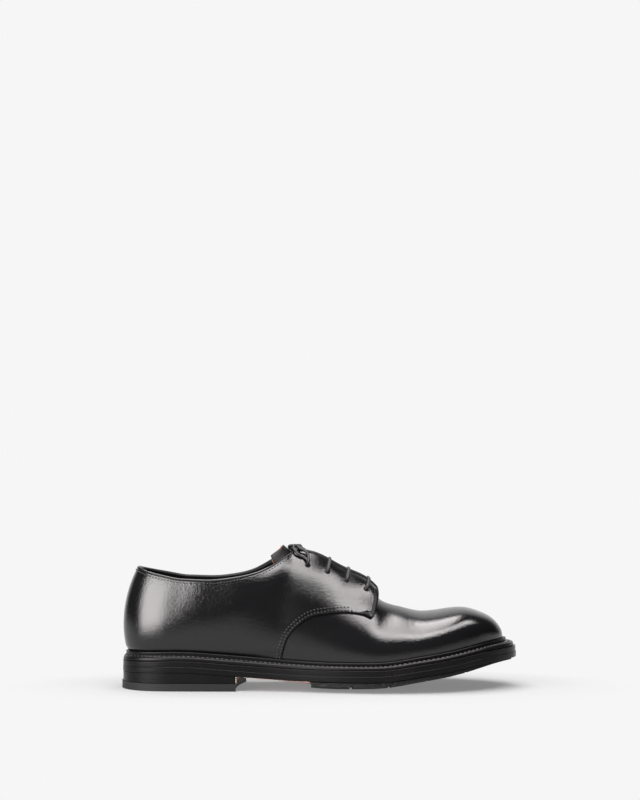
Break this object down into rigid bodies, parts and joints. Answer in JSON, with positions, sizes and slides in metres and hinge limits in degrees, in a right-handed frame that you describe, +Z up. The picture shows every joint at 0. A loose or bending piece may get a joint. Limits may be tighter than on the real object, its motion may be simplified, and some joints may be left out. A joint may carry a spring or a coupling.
{
  "type": "derby shoe",
  "caption": "Right-foot leather derby shoe with a plain toe, open lacing over a lined tongue, storm welt, layered sole, stacked heel and rubber forefoot tread.",
  "frame": {"origin": "on the floor under the middle of the bounding box", "axes": "+X towards the toe, +Y towards the inner side of the foot, +Z up"},
  "size_m": [0.3036, 0.1045, 0.1125],
  "materials": {
    "polished_leather": "polished black calf",
    "lining_leather": "matt natural lining",
    "edge_leather": "dyed and waxed sole edge",
    "rubber": "satin",
    "waxed_cord": "waxed round lace"
  },
  "bodies": {
    "root": {"upper": "polished_leather", "tongue": "lining_leather", "insole": "lining_leather", "welt": "edge_leather", "midsole": "edge_leather", "outsole": "edge_leather", "tread": "rubber", "heel_stack": "edge_leather", "heel_lift": "rubber", "lace_bar_1": "waxed_cord", "lace_bar_2": "waxed_cord", "lace_bar_3": "waxed_cord", "lace_knot": "waxed_cord"}
  },
  "joints": []
}
